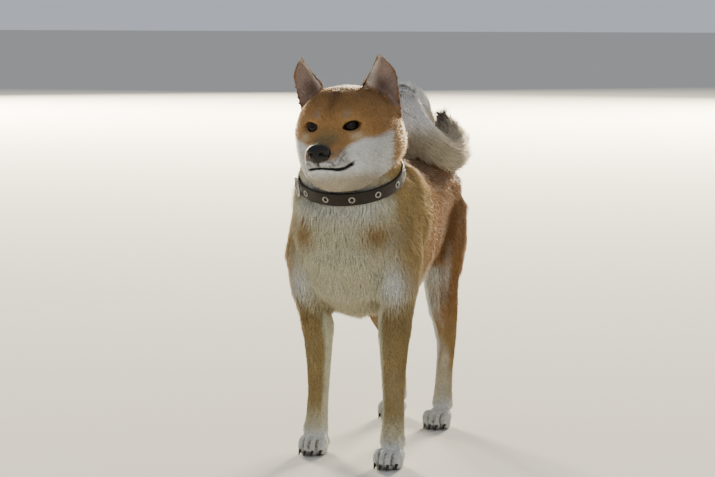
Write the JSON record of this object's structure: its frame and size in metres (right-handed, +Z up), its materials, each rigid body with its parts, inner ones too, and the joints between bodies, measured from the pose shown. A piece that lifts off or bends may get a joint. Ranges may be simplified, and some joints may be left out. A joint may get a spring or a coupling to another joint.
{
  "type": "shiba inu",
  "caption": "Life-size shiba inu standing alert, ears up, tail curled over the back to its left, wearing a leather collar with eyelets.",
  "frame": {"origin": "on the floor, under the middle of the bounding box", "axes": "+Z up; the dog faces -Y; its left side is +X"},
  "size_m": [0.1792, 0.5612, 0.5205],
  "materials": {
    "red_coat": "short dense fur",
    "cream_coat": "short dense fur",
    "tail_coat": "long loose fur",
    "nose_leather": "moist, pebbled",
    "eye_globe": "clear, glossy",
    "collar_leather": "satin",
    "collar_metal": "polished"
  },
  "bodies": {
    "root": {"belly": "red_coat", "buckle": "collar_metal", "buckle_prong": "collar_metal", "chest": "cream_coat", "collar_strap": "collar_leather", "ear_left": "red_coat", "ear_right": "red_coat", "eye_left": "eye_globe", "eye_right": "eye_globe", "eyelet_1": "collar_metal", "eyelet_2": "collar_metal", "eyelet_3": "collar_metal", "eyelet_4": "collar_metal", "eyelet_5": "collar_metal", "eyelet_6": "collar_metal", "eyelet_7": "collar_metal", "eyelet_8": "collar_metal", "eyelet_9": "collar_metal", "foreleg_left_forearm": "cream_coat", "foreleg_left_paw": "cream_coat", "foreleg_left_shoulder": "red_coat", "foreleg_right_forearm": "cream_coat", "foreleg_right_paw": "cream_coat", "foreleg_right_shoulder": "red_coat", "head": "red_coat", "hindleg_left_pastern": "cream_coat", "hindleg_left_paw": "cream_coat", "hindleg_left_shin": "red_coat", "hindleg_left_thigh": "red_coat", "hindleg_right_pastern": "cream_coat", "hindleg_right_paw": "cream_coat", "hindleg_right_shin": "red_coat", "hindleg_right_thigh": "red_coat", "lower_jaw": "cream_coat", "muzzle": "cream_coat", "neck": "cream_coat", "nose": "nose_leather", "rump": "red_coat", "tail_base": "red_coat", "tail_curl": "tail_coat"}
  },
  "joints": []
}
